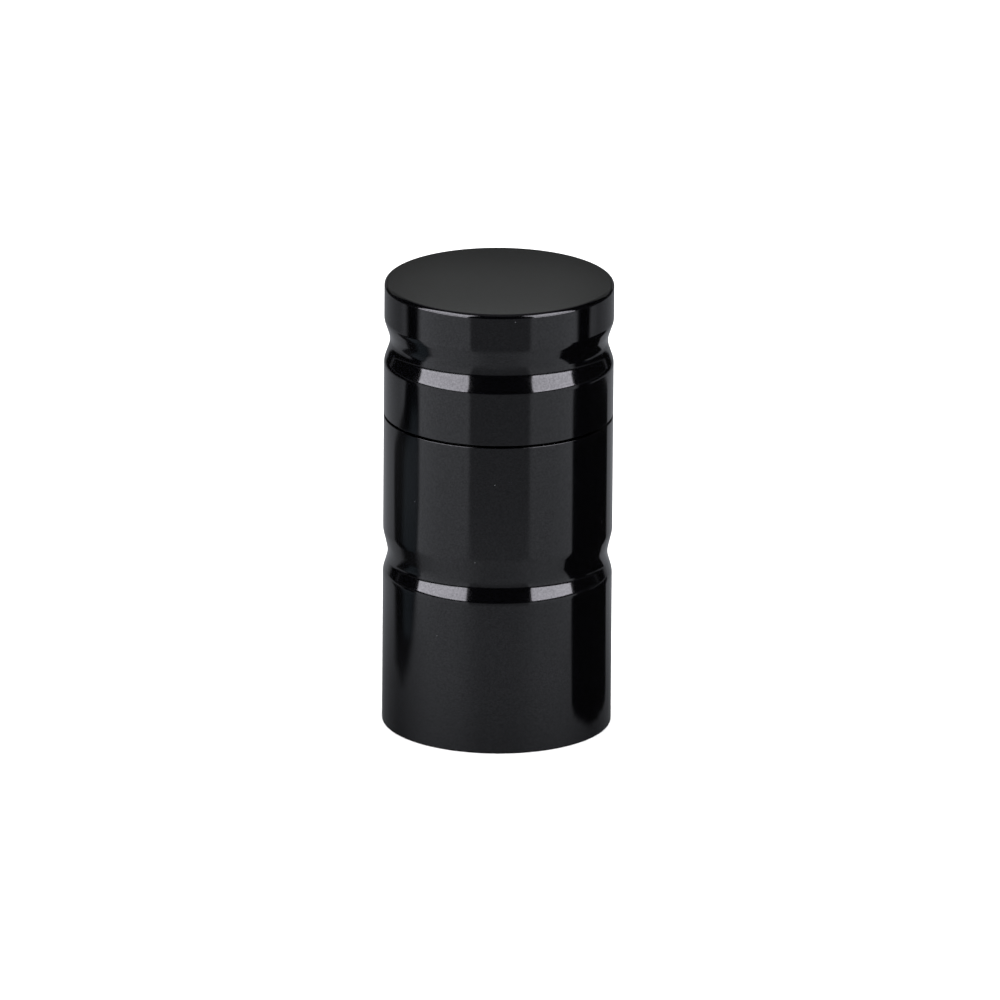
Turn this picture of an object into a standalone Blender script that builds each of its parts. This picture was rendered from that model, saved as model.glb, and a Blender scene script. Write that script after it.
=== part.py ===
"""A hand twist grinder: a lid with a toothed plate turns on a barrel with a second one.

What is ground drops through the lower plate into a storage chamber, and its finest dust falls on
through a screen into a catch chamber that a screwed base cap closes. The turning axis is Z, and
the origin is the middle of the ring that the barrel stands on.
"""

import math

import bmesh
import bpy
from mathutils import Matrix, Vector

MM = 0.001

# Overall sizes
OUTER_DIAMETER = 40 * MM
TOTAL_HEIGHT = 80 * MM
LID_HEIGHT = 24 * MM
SEAM_GAP = 0.4 * MM
OUTER_RADIUS = OUTER_DIAMETER / 2

# Clearances
SEAT_GAP = 0.3 * MM
RUNNING_CLEARANCE = 0.08 * MM
THREAD_CLEARANCE = 0.3 * MM

# Edges and grip grooves
TOP_EDGE_ROUND = 0.85 * MM
SEAM_EDGE_BREAK = 0.15 * MM
BASE_BREAK_ACROSS = 0.5 * MM
BASE_BREAK_UP = 0.2 * MM
LID_GROOVE_BELOW_TOP = 10.6 * MM
LID_GROOVE_UPPER_HALF = 3.75 * MM
LID_GROOVE_LOWER_HALF = 3.7 * MM
LID_GROOVE_DEPTH = 1.0 * MM
LID_GROOVE_ROUND_SHARE = 0.45
BARREL_GROOVE_HEIGHT = 30.8 * MM
BARREL_GROOVE_UPPER_HALF = 4.1 * MM
BARREL_GROOVE_LOWER_HALF = 3.35 * MM
BARREL_GROOVE_DEPTH = 0.8 * MM
BARREL_GROOVE_ROUND_SHARE = 0.38

# Lid
LID_WALL = 2.8 * MM
LID_WEB = 4.5 * MM
GLIDE_SEAT_WALL = 1.8 * MM
GLIDE_RING_WIDTH = 1.0 * MM
GLIDE_RING_HEIGHT = 2.8 * MM

# Barrel
MOUTH_WALL = 1.5 * MM
THREAD_WALL = 3.3 * MM
CATCH_WALL = 4.6 * MM
CATCH_FLOOR_STEP = 9.6 * MM
SCREEN_STEP = 30 * MM

# Lower tooth plate
FLOOR_THICKNESS = 3.4 * MM
FLOOR_ABOVE_SEAM = 1.2 * MM
RIM_ABOVE_SEAM = 6.7 * MM
RIM_WALL = 1.8 * MM
RIM_CLEARANCE = 0.6 * MM
PLATE_THREAD_LENGTH = 6 * MM
GASKET_THICKNESS = 1.0 * MM
DROP_HOLE_RADIUS = 1.35 * MM

# Upper tooth plate
UPPER_PLATE_THICKNESS = 4 * MM
UPPER_PLATE_CLEARANCE = 0.6 * MM

# Teeth, in rings that belong to the lower and the upper plate by turns
TOOTH_TIP_GAP = 2.7 * MM
TOOTH_SWEEP_GAP = 0.55 * MM
TOOTH_HALF_RADIAL = 1.05 * MM
TOOTH_HALF_ACROSS = 1.75 * MM
RIM_TOOTH_HALF_RADIAL = 1.3 * MM
TOOTH_TAPER = 0.82
TOOTH_ROOT_SINK = 0.5 * MM
TOOTH_SPACING = 7.5 * MM
TOOTH_RINGS = 4
DROP_HOLE_SPACING = 5.5 * MM

# Centre post, nut, bush and magnets
POST_RADIUS = 3 * MM
POST_TAIL_RADIUS = 1.5 * MM
POST_ABOVE_UPPER_PLATE_FACE = 1.1 * MM
NUT_ACROSS_FLATS = 5.5 * MM
NUT_THICKNESS = 2.4 * MM
TAIL_PAST_NUT = 0.4 * MM
BUSH_WALL = 1.12 * MM
BUSH_BELOW_PLATE = 3 * MM
BUSH_IN_PLATE = 1.8 * MM
POST_MAGNET_RADIUS = 1.9 * MM
POST_MAGNET_THICKNESS = 1.5 * MM
LID_MAGNET_RADIUS = 2.5 * MM
LID_MAGNET_THICKNESS = 1.3 * MM

# Screws that hold the upper tooth plate
SCREW_COUNT = 3
SCREW_START_ANGLE = math.radians(20)
SCREW_SHANK_RADIUS = 0.85 * MM
SCREW_HEAD_RADIUS = 1.7 * MM
SCREW_HEAD_HEIGHT = 1.1 * MM
SCREW_LENGTH = 6.5 * MM
SCREW_BUSH_WALL = 0.4 * MM

# Screen
SCREEN_RING_WIDTH = 1.8 * MM
SCREEN_FRAME_HEIGHT = 1.7 * MM
SCREEN_THICKNESS = 0.3 * MM
SCREEN_HOLE = 2.4 * MM
SCREEN_PITCH = 3.4 * MM
LOCK_RING_HEIGHT = 1.0 * MM
LOCK_GROOVE_DEPTH = 0.5 * MM
LOCK_RING_SPLIT = 4 * MM

# Base cap
CAP_RECESS = 0.4 * MM
CAP_HEIGHT = 7.6 * MM
CAP_FLOOR = 2.6 * MM
CAP_WALL = 2.2 * MM
COIN_SLOT_LENGTH = 20 * MM
COIN_SLOT_WIDTH = 2.2 * MM
COIN_SLOT_DEPTH = 1.3 * MM
O_RING_SECTION = 0.9 * MM

# Scraper
SCRAPER_LENGTH = 17 * MM
SCRAPER_WIDTH = 13 * MM
SCRAPER_THICKNESS = 0.6 * MM

# Facets
SHELL_FACETS = 48
RING_FACETS = 40
SMALL_FACETS = 24
FILLET_POINTS = 4

# Radii that follow from the sizes above
LID_BORE = OUTER_RADIUS - LID_WALL
GLIDE_SEAT = OUTER_RADIUS - GLIDE_SEAT_WALL
GLIDE_RING_OUTER = GLIDE_SEAT - SEAT_GAP
MOUTH_BORE = OUTER_RADIUS - MOUTH_WALL
THREAD_BORE = OUTER_RADIUS - THREAD_WALL
CATCH_BORE = OUTER_RADIUS - CATCH_WALL
FLANGE_RADIUS = MOUTH_BORE - SEAT_GAP
THREAD_RADIUS = THREAD_BORE - THREAD_CLEARANCE
RIM_OUTER = LID_BORE - RIM_CLEARANCE
RIM_INNER = RIM_OUTER - RIM_WALL
PLATE_THREAD_INNER = THREAD_RADIUS - RIM_WALL
TAIL_HOLE = POST_TAIL_RADIUS + SEAT_GAP
BUSH_BORE = POST_RADIUS + RUNNING_CLEARANCE
RIM_TOOTH_RING = RIM_INNER + TOOTH_ROOT_SINK - RIM_TOOTH_HALF_RADIAL
RING_STEP = 2 * TOOTH_HALF_RADIAL + TOOTH_SWEEP_GAP
OUTER_TOOTH_RING = RIM_TOOTH_RING - RIM_TOOTH_HALF_RADIAL - TOOTH_SWEEP_GAP - TOOTH_HALF_RADIAL
HEAD_HOLE = SCREW_HEAD_RADIUS + SEAT_GAP
BUSH_HOLE = BUSH_BORE + BUSH_WALL + SEAT_GAP
SCREW_CIRCLE_RADIUS = max(OUTER_TOOTH_RING - RING_STEP, BUSH_HOLE + SCREW_BUSH_WALL + HEAD_HOLE)

# Heights that follow from the sizes above
SEAM_HEIGHT = TOTAL_HEIGHT - LID_HEIGHT
BARREL_TOP = SEAM_HEIGHT - SEAM_GAP / 2
LID_BOTTOM = SEAM_HEIGHT + SEAM_GAP / 2
FLOOR_TOP = BARREL_TOP + FLOOR_ABOVE_SEAM
FLOOR_BOTTOM = FLOOR_TOP - FLOOR_THICKNESS
RIM_TOP = BARREL_TOP + RIM_ABOVE_SEAM
GASKET_TOP = FLOOR_BOTTOM - SEAT_GAP
GASKET_BOTTOM = GASKET_TOP - GASKET_THICKNESS
MOUTH_STEP = GASKET_BOTTOM - SEAT_GAP
GLIDE_BOTTOM = BARREL_TOP + SEAT_GAP
GLIDE_TOP = GLIDE_BOTTOM + GLIDE_RING_HEIGHT
GLIDE_SEAT_TOP = GLIDE_TOP + SEAT_GAP
WEB_BOTTOM = TOTAL_HEIGHT - LID_WEB
UPPER_PLATE_TOP = WEB_BOTTOM - SEAT_GAP
UPPER_PLATE_FACE = UPPER_PLATE_TOP - UPPER_PLATE_THICKNESS
POST_TOP = UPPER_PLATE_FACE + POST_ABOVE_UPPER_PLATE_FACE
BUSH_TOP = UPPER_PLATE_FACE + BUSH_IN_PLATE
TOOTH_LENGTH = UPPER_PLATE_FACE - FLOOR_TOP - TOOTH_TIP_GAP
CAP_TOP = CAP_RECESS + CAP_HEIGHT
SCREEN_FRAME_BOTTOM = SCREEN_STEP + SEAT_GAP
SCREEN_BOTTOM = SCREEN_FRAME_BOTTOM + SCREEN_FRAME_HEIGHT + SEAT_GAP
LOCK_RING_BOTTOM = SCREEN_BOTTOM + SCREEN_THICKNESS + SEAT_GAP
LOCK_RING_TOP = LOCK_RING_BOTTOM + LOCK_RING_HEIGHT


def clear_scene():
    for old in list(bpy.data.objects):
        bpy.data.objects.remove(old, do_unlink=True)


def new_collection(name):
    collection = bpy.data.collections.new(name)
    bpy.context.scene.collection.children.link(collection)
    return collection


def new_material(name, color, roughness, metallic):
    material = bpy.data.materials.new(name)
    material.use_nodes = True
    shader = material.node_tree.nodes["Principled BSDF"]
    shader.inputs["Base Color"].default_value = (*color, 1)
    shader.inputs["Roughness"].default_value = roughness
    shader.inputs["Metallic"].default_value = metallic
    return material


def link(name, data, collection, material=None):
    obj = bpy.data.objects.new(name, data)
    collection.objects.link(obj)
    if material:
        data.materials.append(material)
    return obj


def turned(name, profile, facets, material=None, collection=None):
    """A solid turned about Z from (radius, height) points that run down its outer side.

    A profile that starts and ends on the axis stays open, and any other is closed into a ring.
    """
    mesh = bpy.data.meshes.new(name)
    points = [(radius, 0, height) for radius, height in profile]
    edges = [(i, i + 1) for i in range(len(points) - 1)]
    if profile[0][0] > 0:
        edges.append((len(points) - 1, 0))
    mesh.from_pydata(points, edges, [])
    obj = link(name, mesh, collection or PARTS, material)
    screw = obj.modifiers.new("turn", "SCREW")
    screw.steps = facets
    screw.render_steps = facets
    screw.use_merge_vertices = True
    screw.merge_threshold = 0.00001
    screw.use_smooth_shade = True
    return obj


def as_cutter(obj):
    obj.hide_render = True
    obj.display_type = "WIRE"
    return obj


def boolean(obj, other, operation):
    modifier = obj.modifiers.new(other.name, "BOOLEAN")
    modifier.operation = operation
    modifier.solver = "EXACT"
    modifier.object = other


def mesh_from(name, bm, collection, material=None):
    bmesh.ops.recalc_face_normals(bm, faces=bm.faces)
    mesh = bpy.data.meshes.new(name)
    bm.to_mesh(mesh)
    bm.free()
    return link(name, mesh, collection, material)


def around(count, radius, start=0.0):
    """The turn and the place of each of count things spaced evenly on a circle."""
    for i in range(count):
        angle = start + 2 * math.pi * i / count
        yield angle, Vector((radius * math.cos(angle), radius * math.sin(angle), 0))


def vee_groove(middle, upper_half, lower_half, depth, round_share):
    """A V-groove from its upper edge down, with a valley rounded over that share of each flank."""
    apex_depth = depth / (1 - round_share / 2)
    apex = Vector((OUTER_RADIUS - apex_depth, middle))
    top = Vector((OUTER_RADIUS, middle + upper_half))
    bottom = Vector((OUTER_RADIUS, middle - lower_half))
    start = apex.lerp(top, round_share)
    end = apex.lerp(bottom, round_share)
    valley = []
    for i in range(FILLET_POINTS + 1):
        t = i / FILLET_POINTS
        valley.append(start.lerp(apex, t).lerp(apex.lerp(end, t), t))
    return [tuple(p) for p in (top, *valley, bottom)]


def make_lid_shell():
    fillet = []
    for i in range(FILLET_POINTS + 1):
        angle = math.pi / 2 * (1 - i / FILLET_POINTS)
        radius = OUTER_RADIUS - TOP_EDGE_ROUND * (1 - math.cos(angle))
        fillet.append((radius, TOTAL_HEIGHT - TOP_EDGE_ROUND * (1 - math.sin(angle))))
    groove = vee_groove(
        TOTAL_HEIGHT - LID_GROOVE_BELOW_TOP, LID_GROOVE_UPPER_HALF, LID_GROOVE_LOWER_HALF,
        LID_GROOVE_DEPTH, LID_GROOVE_ROUND_SHARE
    )
    lid = turned("lid_shell", [
        (0, TOTAL_HEIGHT),
        *fillet,
        *groove,
        (OUTER_RADIUS, LID_BOTTOM + SEAM_EDGE_BREAK),
        (OUTER_RADIUS - SEAM_EDGE_BREAK, LID_BOTTOM),
        (GLIDE_SEAT, LID_BOTTOM),
        (GLIDE_SEAT, GLIDE_SEAT_TOP),
        (LID_BORE, GLIDE_SEAT_TOP),
        (LID_BORE, WEB_BOTTOM),
        (0, WEB_BOTTOM),
    ], SHELL_FACETS, BLACK_ANODISED)
    hole_top = UPPER_PLATE_FACE + SEAT_GAP + SCREW_LENGTH + SEAT_GAP
    for i, (_, place) in enumerate(around(SCREW_COUNT, SCREW_CIRCLE_RADIUS, SCREW_START_ANGLE), 1):
        hole = as_cutter(turned(f"lid_screw_hole_{i}", [
            (0, hole_top),
            (SCREW_SHANK_RADIUS + SEAT_GAP, hole_top),
            (SCREW_SHANK_RADIUS + SEAT_GAP, WEB_BOTTOM - SEAT_GAP),
            (0, WEB_BOTTOM - SEAT_GAP),
        ], SMALL_FACETS // 2, collection=CUTTERS))
        hole.location = place
        boolean(lid, hole, "DIFFERENCE")


def make_body_shell():
    groove = vee_groove(
        BARREL_GROOVE_HEIGHT, BARREL_GROOVE_UPPER_HALF, BARREL_GROOVE_LOWER_HALF,
        BARREL_GROOVE_DEPTH, BARREL_GROOVE_ROUND_SHARE
    )
    lock_groove = THREAD_BORE + LOCK_GROOVE_DEPTH
    turned("body_shell", [
        (OUTER_RADIUS - SEAM_EDGE_BREAK, BARREL_TOP),
        (OUTER_RADIUS, BARREL_TOP - SEAM_EDGE_BREAK),
        *groove,
        (OUTER_RADIUS, BASE_BREAK_UP),
        (OUTER_RADIUS - BASE_BREAK_ACROSS, 0),
        (THREAD_BORE, 0),
        (THREAD_BORE, CATCH_FLOOR_STEP),
        (CATCH_BORE, CATCH_FLOOR_STEP),
        (CATCH_BORE, SCREEN_STEP),
        (THREAD_BORE, SCREEN_STEP),
        (THREAD_BORE, LOCK_RING_BOTTOM - SEAT_GAP),
        (lock_groove, LOCK_RING_BOTTOM - SEAT_GAP),
        (lock_groove, LOCK_RING_TOP + SEAT_GAP),
        (THREAD_BORE, LOCK_RING_TOP + SEAT_GAP),
        (THREAD_BORE, MOUTH_STEP),
        (MOUTH_BORE, MOUTH_STEP),
        (MOUTH_BORE, BARREL_TOP),
    ], SHELL_FACETS, BLACK_ANODISED)


def tooth_rings(first):
    """Every second ring's radius, from the outer tooth ring inwards, as far as the bush leaves room."""
    room = BUSH_BORE + BUSH_WALL + TOOTH_HALF_RADIAL
    rings = [OUTER_TOOTH_RING - i * RING_STEP for i in range(TOOTH_RINGS - 1)]
    return [radius for radius in rings[first::2] if radius > room]


def add_teeth(bm, radius, root, tip, half_radial=TOOTH_HALF_RADIAL):
    """Tapered diamond teeth on a circle, a multiple of three of them, which leaves room for the screws."""
    height = abs(tip - root)
    count = 3 * max(1, int(2 * math.pi * radius / (3 * TOOTH_SPACING)))
    for angle, place in around(count, radius):
        place.z = (root + tip) / 2
        turn = Matrix.Rotation(angle, 4, "Z")
        flip = Matrix.Rotation(math.pi if tip < root else 0, 4, "X")
        size = Matrix.Diagonal((half_radial, TOOTH_HALF_ACROSS, 1, 1))
        bmesh.ops.create_cone(
            bm, cap_ends=True, segments=4, radius1=1, radius2=TOOTH_TAPER, depth=height,
            matrix=Matrix.Translation(place) @ turn @ size @ flip,
        )


def make_upper_tooth_plate():
    magnet_hole = LID_MAGNET_RADIUS + SEAT_GAP
    outer = LID_BORE - UPPER_PLATE_CLEARANCE
    shelf = BUSH_TOP + SEAT_GAP
    plate = turned("upper_tooth_plate", [
        (outer, UPPER_PLATE_TOP),
        (outer, UPPER_PLATE_FACE),
        (BUSH_HOLE, UPPER_PLATE_FACE),
        (BUSH_HOLE, shelf),
        (magnet_hole, shelf),
        (magnet_hole, UPPER_PLATE_TOP),
    ], RING_FACETS, BARE_ALUMINIUM)
    bm = bmesh.new()
    tip = UPPER_PLATE_FACE - TOOTH_LENGTH
    root = UPPER_PLATE_FACE + TOOTH_ROOT_SINK
    for radius in tooth_rings(0):
        add_teeth(bm, radius, root, tip)
    boolean(plate, as_cutter(mesh_from("upper_teeth", bm, CUTTERS)), "UNION")
    shank_hole = SCREW_SHANK_RADIUS + SEAT_GAP
    head_bottom = UPPER_PLATE_FACE + SEAT_GAP
    for i, (_, place) in enumerate(around(SCREW_COUNT, SCREW_CIRCLE_RADIUS, SCREW_START_ANGLE), 1):
        hole = as_cutter(turned(f"plate_screw_hole_{i}", [
            (0, UPPER_PLATE_TOP + SEAT_GAP),
            (shank_hole, UPPER_PLATE_TOP + SEAT_GAP),
            (shank_hole, head_bottom + SCREW_HEAD_HEIGHT + SEAT_GAP),
            (HEAD_HOLE, head_bottom + SEAT_GAP),
            (HEAD_HOLE, UPPER_PLATE_FACE - SEAT_GAP),
            (0, UPPER_PLATE_FACE - SEAT_GAP),
        ], SMALL_FACETS // 2, collection=CUTTERS))
        hole.location = place
        boolean(plate, hole, "DIFFERENCE")
    for i, (_, place) in enumerate(around(SCREW_COUNT, SCREW_CIRCLE_RADIUS, SCREW_START_ANGLE), 1):
        screw = turned(f"upper_plate_screw_{i}", [
            (0, head_bottom + SCREW_LENGTH),
            (SCREW_SHANK_RADIUS, head_bottom + SCREW_LENGTH),
            (SCREW_SHANK_RADIUS, head_bottom + SCREW_HEAD_HEIGHT),
            (SCREW_HEAD_RADIUS, head_bottom),
            (0, head_bottom),
        ], SMALL_FACETS // 2, BRIGHT_STEEL)
        screw.location = place


def make_lower_tooth_plate():
    plate = turned("lower_tooth_plate", [
        (RIM_OUTER, RIM_TOP),
        (RIM_OUTER, BARREL_TOP),
        (FLANGE_RADIUS, BARREL_TOP),
        (FLANGE_RADIUS, FLOOR_BOTTOM),
        (THREAD_RADIUS, FLOOR_BOTTOM),
        (THREAD_RADIUS, FLOOR_BOTTOM - PLATE_THREAD_LENGTH),
        (PLATE_THREAD_INNER, FLOOR_BOTTOM - PLATE_THREAD_LENGTH),
        (PLATE_THREAD_INNER, FLOOR_BOTTOM),
        (TAIL_HOLE, FLOOR_BOTTOM),
        (TAIL_HOLE, FLOOR_TOP),
        (RIM_INNER, FLOOR_TOP),
        (RIM_INNER, RIM_TOP),
    ], RING_FACETS, BARE_ALUMINIUM)
    bm = bmesh.new()
    tip = FLOOR_TOP + TOOTH_LENGTH
    root = FLOOR_TOP - TOOTH_ROOT_SINK
    add_teeth(bm, RIM_TOOTH_RING, root, tip, RIM_TOOTH_HALF_RADIAL)
    for radius in tooth_rings(1):
        add_teeth(bm, radius, root, tip)
    boolean(plate, as_cutter(mesh_from("lower_teeth", bm, CUTTERS)), "UNION")
    bm = bmesh.new()
    height = FLOOR_THICKNESS + 2 * SEAT_GAP
    for radius in tooth_rings(0):
        count = int(2 * math.pi * radius / DROP_HOLE_SPACING)
        for _, place in around(count, radius, math.pi / count):
            place.z = (FLOOR_TOP + FLOOR_BOTTOM) / 2
            bmesh.ops.create_cone(
                bm, cap_ends=True, segments=SMALL_FACETS // 2, radius1=DROP_HOLE_RADIUS,
                radius2=DROP_HOLE_RADIUS, depth=height, matrix=Matrix.Translation(place),
            )
    boolean(plate, as_cutter(mesh_from("drop_holes", bm, CUTTERS)), "DIFFERENCE")


def make_post():
    pocket = POST_MAGNET_RADIUS + SEAT_GAP
    magnet_bottom = POST_TOP - POST_MAGNET_THICKNESS - SEAT_GAP / 2
    pocket_floor = magnet_bottom - SEAT_GAP
    shoulder = FLOOR_TOP + SEAT_GAP
    nut_top = FLOOR_BOTTOM - SEAT_GAP
    tail_bottom = nut_top - NUT_THICKNESS - TAIL_PAST_NUT
    turned("center_post", [
        (0, pocket_floor),
        (pocket, pocket_floor),
        (pocket, POST_TOP),
        (POST_RADIUS, POST_TOP),
        (POST_RADIUS, shoulder),
        (POST_TAIL_RADIUS, shoulder),
        (POST_TAIL_RADIUS, tail_bottom),
        (0, tail_bottom),
    ], RING_FACETS, BRIGHT_STEEL)
    turned("post_magnet", [
        (0, magnet_bottom + POST_MAGNET_THICKNESS),
        (POST_MAGNET_RADIUS, magnet_bottom + POST_MAGNET_THICKNESS),
        (POST_MAGNET_RADIUS, magnet_bottom),
        (0, magnet_bottom),
    ], SMALL_FACETS, NICKEL)
    turned("hub_bush", [
        (BUSH_BORE + BUSH_WALL, BUSH_TOP),
        (BUSH_BORE + BUSH_WALL, UPPER_PLATE_FACE - BUSH_BELOW_PLATE),
        (BUSH_BORE, UPPER_PLATE_FACE - BUSH_BELOW_PLATE),
        (BUSH_BORE, BUSH_TOP),
    ], RING_FACETS, BLACK_ACETAL)
    magnet_base = BUSH_TOP + 2 * SEAT_GAP
    turned("lid_magnet", [
        (0, magnet_base + LID_MAGNET_THICKNESS),
        (LID_MAGNET_RADIUS, magnet_base + LID_MAGNET_THICKNESS),
        (LID_MAGNET_RADIUS, magnet_base),
        (0, magnet_base),
    ], SMALL_FACETS, NICKEL)
    bm = bmesh.new()
    corner_radius = NUT_ACROSS_FLATS / math.sqrt(3)
    bmesh.ops.create_cone(
        bm, cap_ends=True, segments=6, radius1=corner_radius, radius2=corner_radius, depth=NUT_THICKNESS,
        matrix=Matrix.Translation((0, 0, nut_top - NUT_THICKNESS / 2)),
    )
    nut = mesh_from("post_nut", bm, PARTS, BRIGHT_STEEL)
    bore = as_cutter(turned("nut_bore", [
        (0, nut_top + SEAT_GAP),
        (TAIL_HOLE, nut_top + SEAT_GAP),
        (TAIL_HOLE, nut_top - NUT_THICKNESS - SEAT_GAP),
        (0, nut_top - NUT_THICKNESS - SEAT_GAP),
    ], SMALL_FACETS, collection=CUTTERS))
    boolean(nut, bore, "DIFFERENCE")


def make_ring(name, outer, width, bottom, height, material):
    return turned(name, [
        (outer, bottom + height),
        (outer, bottom),
        (outer - width, bottom),
        (outer - width, bottom + height),
    ], RING_FACETS, material)


def make_screen():
    outer = THREAD_BORE - SEAT_GAP
    make_ring(
        "screen_frame", outer, SCREEN_RING_WIDTH, SCREEN_FRAME_BOTTOM, SCREEN_FRAME_HEIGHT, BRIGHT_STEEL
    )
    screen = turned("screen_mesh", [
        (0, SCREEN_BOTTOM + SCREEN_THICKNESS),
        (outer, SCREEN_BOTTOM + SCREEN_THICKNESS),
        (outer, SCREEN_BOTTOM),
        (0, SCREEN_BOTTOM),
    ], RING_FACETS, BRIGHT_STEEL)
    bm = bmesh.new()
    clear_radius = outer - SCREEN_RING_WIDTH - SCREEN_HOLE
    reach = int(clear_radius / SCREEN_PITCH)
    for column in range(-reach, reach + 1):
        for row in range(-reach, reach + 1):
            x, y = column * SCREEN_PITCH, row * SCREEN_PITCH
            if math.hypot(x, y) > clear_radius:
                continue
            size = Matrix.Diagonal((SCREEN_HOLE, SCREEN_HOLE, 3 * SCREEN_THICKNESS, 1))
            place = Matrix.Translation((x, y, SCREEN_BOTTOM + SCREEN_THICKNESS / 2))
            bmesh.ops.create_cube(bm, size=1, matrix=place @ size)
    boolean(screen, as_cutter(mesh_from("screen_holes", bm, CUTTERS)), "DIFFERENCE")
    lock_outer = THREAD_BORE + LOCK_GROOVE_DEPTH - SEAT_GAP
    lock = make_ring(
        "screen_lock_ring", lock_outer, SCREEN_RING_WIDTH, LOCK_RING_BOTTOM, LOCK_RING_HEIGHT, BRIGHT_STEEL
    )
    bm = bmesh.new()
    size = Matrix.Diagonal((LOCK_RING_SPLIT, 4 * SCREEN_RING_WIDTH, 3 * LOCK_RING_HEIGHT, 1))
    place = Matrix.Translation((0, lock_outer, (LOCK_RING_BOTTOM + LOCK_RING_TOP) / 2))
    bmesh.ops.create_cube(bm, size=1, matrix=place @ size)
    boolean(lock, as_cutter(mesh_from("lock_ring_split", bm, CUTTERS)), "DIFFERENCE")


def make_base_cap():
    dish = THREAD_RADIUS - CAP_WALL
    cap = turned("base_cap", [
        (0, CAP_RECESS + CAP_FLOOR),
        (dish, CAP_RECESS + CAP_FLOOR),
        (dish, CAP_TOP),
        (THREAD_RADIUS, CAP_TOP),
        (THREAD_RADIUS, CAP_RECESS),
        (0, CAP_RECESS),
    ], RING_FACETS, BLACK_ANODISED)
    bm = bmesh.new()
    size = Matrix.Diagonal((COIN_SLOT_LENGTH, COIN_SLOT_WIDTH, 2 * COIN_SLOT_DEPTH, 1))
    bmesh.ops.create_cube(bm, size=1, matrix=Matrix.Translation((0, 0, CAP_RECESS)) @ size)
    boolean(cap, as_cutter(mesh_from("coin_slot", bm, CUTTERS)), "DIFFERENCE")
    section = O_RING_SECTION / 2
    center = ((CAP_TOP + CATCH_FLOOR_STEP) / 2, (CATCH_BORE + THREAD_BORE) / 2)
    profile = []
    for i in range(8):
        angle = math.pi / 2 - 2 * math.pi * i / 8
        profile.append((center[1] + section * math.cos(angle), center[0] + section * math.sin(angle)))
    turned("base_o_ring", profile, RING_FACETS, RUBBER)


def make_scraper():
    curve = bpy.data.curves.new("scraper", "CURVE")
    curve.dimensions = "2D"
    curve.fill_mode = "BOTH"
    curve.extrude = SCRAPER_THICKNESS / 2
    spline = curve.splines.new("BEZIER")
    spline.bezier_points.add(2)
    nose = SCRAPER_LENGTH / 2
    side = SCRAPER_WIDTH / 2
    corners = ((nose, 0), (-nose, side), (-nose, -side))
    handle = side / 2
    for point, (x, y) in zip(spline.bezier_points, corners):
        along = Vector((-y, x, 0)).normalized() * handle
        point.co = (x, y, 0)
        point.handle_left = point.co - along
        point.handle_right = point.co + along
    spline.use_cyclic_u = True
    curve.resolution_u = 6
    scraper = link("scraper", curve, PARTS, BRIGHT_STEEL)
    scraper.location.z = CAP_RECESS + CAP_FLOOR + SEAT_GAP + SCRAPER_THICKNESS / 2


clear_scene()
PARTS = new_collection("hand_grinder")
CUTTERS = new_collection("cutters")

BLACK_ANODISED = new_material("black anodised aluminium", (0.006, 0.006, 0.007), 0.25, 0.0)
BARE_ALUMINIUM = new_material("machined aluminium", (0.75, 0.76, 0.78), 0.3, 1.0)
BRIGHT_STEEL = new_material("stainless steel", (0.62, 0.61, 0.6), 0.25, 1.0)
NICKEL = new_material("nickel plate", (0.66, 0.63, 0.58), 0.2, 1.0)
BLACK_ACETAL = new_material("black acetal", (0.012, 0.012, 0.013), 0.4, 0.0)
RUBBER = new_material("nitrile rubber", (0.02, 0.02, 0.02), 0.7, 0.0)

make_lid_shell()
make_upper_tooth_plate()
make_body_shell()
make_lower_tooth_plate()
make_post()
make_ring("glide_ring", GLIDE_RING_OUTER, GLIDE_RING_WIDTH, GLIDE_BOTTOM, GLIDE_RING_HEIGHT, BLACK_ACETAL)
gasket_width = FLANGE_RADIUS - THREAD_BORE - SEAT_GAP
make_ring("plate_gasket", FLANGE_RADIUS, gasket_width, GASKET_BOTTOM, GASKET_THICKNESS, RUBBER)
make_screen()
make_base_cap()
make_scraper()
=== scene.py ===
import math

import bmesh
import bpy
from mathutils import Matrix, Vector


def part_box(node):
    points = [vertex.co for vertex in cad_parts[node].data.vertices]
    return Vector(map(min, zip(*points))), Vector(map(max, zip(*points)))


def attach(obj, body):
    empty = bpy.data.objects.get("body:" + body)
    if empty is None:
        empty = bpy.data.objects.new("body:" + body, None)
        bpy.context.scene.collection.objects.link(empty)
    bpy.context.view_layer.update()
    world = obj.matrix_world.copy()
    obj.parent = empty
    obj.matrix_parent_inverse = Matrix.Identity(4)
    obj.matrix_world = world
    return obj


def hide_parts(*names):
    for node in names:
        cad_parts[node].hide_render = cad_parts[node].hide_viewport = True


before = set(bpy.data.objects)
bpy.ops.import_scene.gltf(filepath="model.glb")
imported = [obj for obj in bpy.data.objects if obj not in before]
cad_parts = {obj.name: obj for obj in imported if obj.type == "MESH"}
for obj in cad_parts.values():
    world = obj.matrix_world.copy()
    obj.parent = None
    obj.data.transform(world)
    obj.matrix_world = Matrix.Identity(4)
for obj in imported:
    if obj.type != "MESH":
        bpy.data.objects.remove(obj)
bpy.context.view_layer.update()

mm = 0.001
gap = 0.3  # mm, between pieces that touch
print("frame loaded:", len(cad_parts), "nodes")


# sizes of the solids, in mm

def span(node):
    low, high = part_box(node)
    return high.x / mm, low.z / mm, high.z / mm  # radius, bottom, top


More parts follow.
